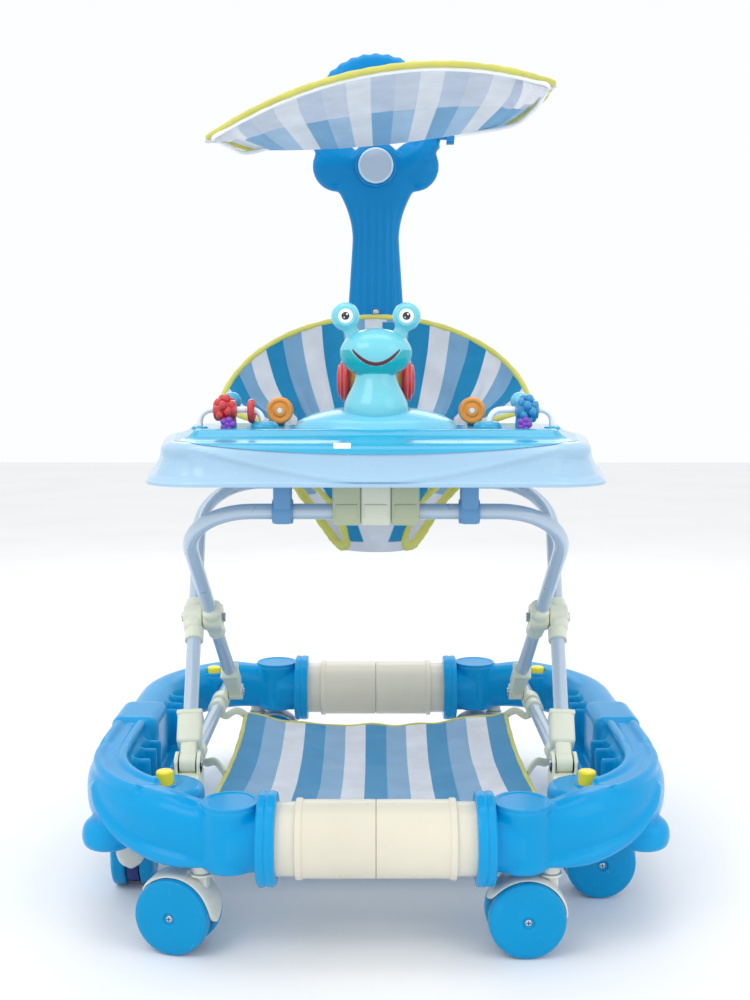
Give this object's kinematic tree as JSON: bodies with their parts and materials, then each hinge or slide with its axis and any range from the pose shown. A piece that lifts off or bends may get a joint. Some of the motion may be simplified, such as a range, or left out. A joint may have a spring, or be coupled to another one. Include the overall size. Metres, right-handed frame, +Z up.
{
  "type": "baby walker",
  "caption": "Baby walker on a ring base with twin-wheel casters, a scissor frame, striped sling seat and foot mat, play tray with a snail toy, push handle and sun canopy.",
  "frame": {"origin": "on the floor under the middle of the base ring", "axes": "+X to the walker's left-hand side as seen from the front camera's right, -Y to the front where the child faces, +Z up"},
  "size_m": [0.608, 0.651, 0.951],
  "materials": {
    "shell_blue": "moulded gloss blue",
    "cream_plastic": "glossy cream, slightly translucent",
    "joint_plastic": "semi-matt grey cream",
    "caster_core": "frosted cream hood over a navy core",
    "wheel_blue": "gloss blue",
    "button_yellow": "gloss yellow",
    "zinc_steel": "bright zinc plate",
    "tube_paint": "powder-coated pale grey blue",
    "stripe_fabric": "woven polyester with blue, pale blue and white stripes",
    "canopy_cloth": "thin woven polyester, pale stripes, yellow piping",
    "tray_pale_blue": "gloss pale blue",
    "bracket_blue": "satin blue",
    "toy_cyan": "gloss cyan",
    "snail_aqua": "gloss aqua",
    "toy_red": "gloss red",
    "toy_white": "gloss white",
    "toy_blue": "gloss blue",
    "toy_orange": "gloss orange",
    "handle_blue": "gloss deep blue",
    "disc_grey": "gloss pale grey"
  },
  "bodies": {
    "root": {"base_shell_left": "shell_blue", "base_shell_right": "shell_blue", "front_cross_tube": "cream_plastic", "rear_cross_tube": "cream_plastic", "bar_sleeves": "cream_plastic", "caster_sockets": "joint_plastic", "foot_brackets": "joint_plastic", "foot_pins": "zinc_steel", "side_rails": "tube_paint", "mat_hooks": "joint_plastic", "foot_mat": "stripe_fabric"},
    "caster_front_left": {"caster_fork_front_left": "caster_core"},
    "wheels_front_left": {"caster_wheels_front_left": "wheel_blue"},
    "caster_front_right": {"caster_fork_front_right": "caster_core"},
    "wheels_front_right": {"caster_wheels_front_right": "wheel_blue"},
    "caster_side_front_left": {"caster_fork_side_front_left": "caster_core"},
    "wheels_side_front_left": {"caster_wheels_side_front_left": "wheel_blue"},
    "caster_side_front_right": {"caster_fork_side_front_right": "caster_core"},
    "wheels_side_front_right": {"caster_wheels_side_front_right": "wheel_blue"},
    "caster_side_rear_left": {"caster_fork_side_rear_left": "caster_core"},
    "wheels_side_rear_left": {"caster_wheels_side_rear_left": "wheel_blue"},
    "caster_side_rear_right": {"caster_fork_side_rear_right": "caster_core"},
    "wheels_side_rear_right": {"caster_wheels_side_rear_right": "wheel_blue"},
    "caster_rear_left": {"caster_fork_rear_left": "caster_core"},
    "wheels_rear_left": {"caster_wheels_rear_left": "wheel_blue"},
    "caster_rear_right": {"caster_fork_rear_right": "caster_core"},
    "wheels_rear_right": {"caster_wheels_rear_right": "wheel_blue"},
    "button_front_left": {"button_front_left": "button_yellow"},
    "button_front_right": {"button_front_right": "button_yellow"},
    "button_rear_left": {"button_rear_left": "button_yellow"},
    "button_rear_right": {"button_rear_right": "button_yellow"},
    "frame_a": {"frame_tube_a": "tube_paint", "joint_sleeves_a": "joint_plastic", "joint_bolts": "zinc_steel", "front_shoes": "joint_plastic"},
    "frame_b": {"frame_tube_b": "tube_paint", "joint_sleeves_b": "joint_plastic", "rear_shoes": "joint_plastic"},
    "slider_left": {"slider_left": "joint_plastic"},
    "slider_right": {"slider_right": "joint_plastic"},
    "tray": {"tray_shell": "tray_pale_blue", "tray_clamp": "joint_plastic", "tray_hooks": "bracket_blue", "slot_brackets": "bracket_blue", "toy_tray": "toy_cyan", "snail_body": "snail_aqua", "toy_arcs": "toy_white", "seat_back": "stripe_fabric", "seat_sling": "stripe_fabric", "handle_front": "handle_blue", "handle_back": "handle_blue", "handle_disc": "disc_grey"},
    "snail_wheel": {"snail_shell": "toy_red"},
    "bead_left": {"star_bead_left": "toy_red"},
    "bead_right": {"star_bead_right": "toy_blue"},
    "orange_left": {"orange_toy_left": "toy_orange"},
    "orange_right": {"orange_toy_right": "toy_orange"},
    "canopy": {"canopy_clips": "handle_blue", "canopy_frame": "zinc_steel", "canopy_fabric": "canopy_cloth"}
  },
  "joints": [
    {"name": "frame_fold", "type": "hinge", "parent": "root", "child": "frame_a", "pos_m": [0, -0.145, 0.14], "axis": [-1, 0, 0], "range_deg": [0, 17]},
    {"name": "frame_cross", "type": "hinge", "parent": "frame_a", "child": "frame_b", "pos_m": [0, 0, 0.267], "axis": [1, 0, 0], "range_deg": [0, 34.5]},
    {"name": "tray_level", "type": "hinge", "parent": "frame_b", "child": "tray", "pos_m": [0, -0.16192, 0.40882], "axis": [-1, 0, 0], "range_deg": [0, 17.5]},
    {"name": "slider_tilt_left", "type": "hinge", "parent": "frame_b", "child": "slider_left", "pos_m": [-0.18, 0.145, 0.14], "axis": [-1, 0, 0], "range_deg": [0, 17.5]},
    {"name": "slider_tilt_right", "type": "hinge", "parent": "frame_b", "child": "slider_right", "pos_m": [0.18, 0.145, 0.14], "axis": [-1, 0, 0], "range_deg": [0, 17.5]},
    {"name": "swivel_front_left", "type": "hinge", "parent": "root", "child": "caster_front_left", "pos_m": [-0.166, -0.281, 0.09], "axis": [0, 0, 1], "continuous": true},
    {"name": "roll_front_left", "type": "hinge", "parent": "caster_front_left", "child": "wheels_front_left", "pos_m": [-0.18907, -0.27438, 0.037], "axis": [0.2756, 0.9613, 0], "continuous": true},
    {"name": "swivel_front_right", "type": "hinge", "parent": "root", "child": "caster_front_right", "pos_m": [0.166, -0.281, 0.09], "axis": [0, 0, 1], "continuous": true},
    {"name": "roll_front_right", "type": "hinge", "parent": "caster_front_right", "child": "wheels_front_right", "pos_m": [0.14202, -0.28184, 0.037], "axis": [-0.0349, 0.9994, 0], "continuous": true},
    {"name": "swivel_side_front_left", "type": "hinge", "parent": "root", "child": "caster_side_front_left", "pos_m": [-0.259, -0.145, 0.09], "axis": [0, 0, 1], "continuous": true},
    {"name": "roll_side_front_left", "type": "hinge", "parent": "caster_side_front_left", "child": "wheels_side_front_left", "pos_m": [-0.26067, -0.12106, 0.037], "axis": [0.9976, 0.0698, 0], "continuous": true},
    {"name": "swivel_side_front_right", "type": "hinge", "parent": "root", "child": "caster_side_front_right", "pos_m": [0.259, -0.145, 0.09], "axis": [0, 0, 1], "continuous": true},
    {"name": "roll_side_front_right", "type": "hinge", "parent": "caster_side_front_right", "child": "wheels_side_front_right", "pos_m": [0.23506, -0.14667, 0.037], "axis": [-0.0698, 0.9976, 0], "continuous": true},
    {"name": "swivel_side_rear_left", "type": "hinge", "parent": "root", "child": "caster_side_rear_left", "pos_m": [-0.259, 0.145, 0.09], "axis": [0, 0, 1], "continuous": true},
    {"name": "roll_side_rear_left", "type": "hinge", "parent": "caster_side_rear_left", "child": "wheels_side_rear_left", "pos_m": [-0.26521, 0.16818, 0.037], "axis": [0.9659, 0.2588, 0], "continuous": true},
    {"name": "swivel_side_rear_right", "type": "hinge", "parent": "root", "child": "caster_side_rear_right", "pos_m": [0.259, 0.145, 0.09], "axis": [0, 0, 1], "continuous": true},
    {"name": "roll_side_rear_right", "type": "hinge", "parent": "caster_side_rear_right", "child": "wheels_side_rear_right", "pos_m": [0.26109, 0.16891, 0.037], "axis": [0.9962, -0.0872, 0], "continuous": true},
    {"name": "swivel_rear_left", "type": "hinge", "parent": "root", "child": "caster_rear_left", "pos_m": [-0.166, 0.281, 0.09], "axis": [0, 0, 1], "continuous": true},
    {"name": "roll_rear_left", "type": "hinge", "parent": "caster_rear_left", "child": "wheels_rear_left", "pos_m": [-0.142, 0.281, 0.037], "axis": [0, -1, 0], "continuous": true},
    {"name": "swivel_rear_right", "type": "hinge", "parent": "root", "child": "caster_rear_right", "pos_m": [0.166, 0.281, 0.09], "axis": [0, 0, 1], "continuous": true},
    {"name": "roll_rear_right", "type": "hinge", "parent": "caster_rear_right", "child": "wheels_rear_right", "pos_m": [0.14223, 0.27766, 0.037], "axis": [-0.1392, 0.9903, 0], "continuous": true},
    {"name": "press_front_left", "type": "slide", "parent": "root", "child": "button_front_left", "axis": [0, 0, -1], "range_m": [0, 0.006], "stiffness_N_per_m": 300},
    {"name": "press_front_right", "type": "slide", "parent": "root", "child": "button_front_right", "axis": [0, 0, -1], "range_m": [0, 0.006], "stiffness_N_per_m": 300},
    {"name": "press_rear_left", "type": "slide", "parent": "root", "child": "button_rear_left", "axis": [0, 0, -1], "range_m": [0, 0.006], "stiffness_N_per_m": 300},
    {"name": "press_rear_right", "type": "slide", "parent": "root", "child": "button_rear_right", "axis": [0, 0, -1], "range_m": [0, 0.006], "stiffness_N_per_m": 300},
    {"name": "snail_spin", "type": "hinge", "parent": "tray", "child": "snail_wheel", "pos_m": [0, -0.095, 0.541], "axis": [1, 0, 0], "continuous": true},
    {"name": "bead_spin_left", "type": "hinge", "parent": "tray", "child": "bead_left", "pos_m": [-0.154, -0.15, 0.512], "axis": [1, 0, 0], "continuous": true},
    {"name": "bead_spin_right", "type": "hinge", "parent": "tray", "child": "bead_right", "pos_m": [0.154, -0.15, 0.512], "axis": [1, 0, 0], "continuous": true},
    {"name": "orange_spin_left", "type": "hinge", "parent": "tray", "child": "orange_left", "pos_m": [-0.101, -0.11, 0.51], "axis": [0, 1, 0], "continuous": true},
    {"name": "orange_spin_right", "type": "hinge", "parent": "tray", "child": "orange_right", "pos_m": [0.101, -0.11, 0.51], "axis": [0, 1, 0], "continuous": true},
    {"name": "canopy_tilt", "type": "hinge", "parent": "tray", "child": "canopy", "pos_m": [0, 0.19, 0.845], "axis": [-1, 0, 0], "range_deg": [-15, 35]}
  ],
  "couplings": [
    {"joint": "frame_cross", "follows": "frame_fold", "ratio": 2},
    {"joint": "tray_level", "follows": "frame_fold", "ratio": 1},
    {"joint": "slider_tilt_left", "follows": "frame_fold", "ratio": 1},
    {"joint": "slider_tilt_right", "follows": "frame_fold", "ratio": 1}
  ]
}
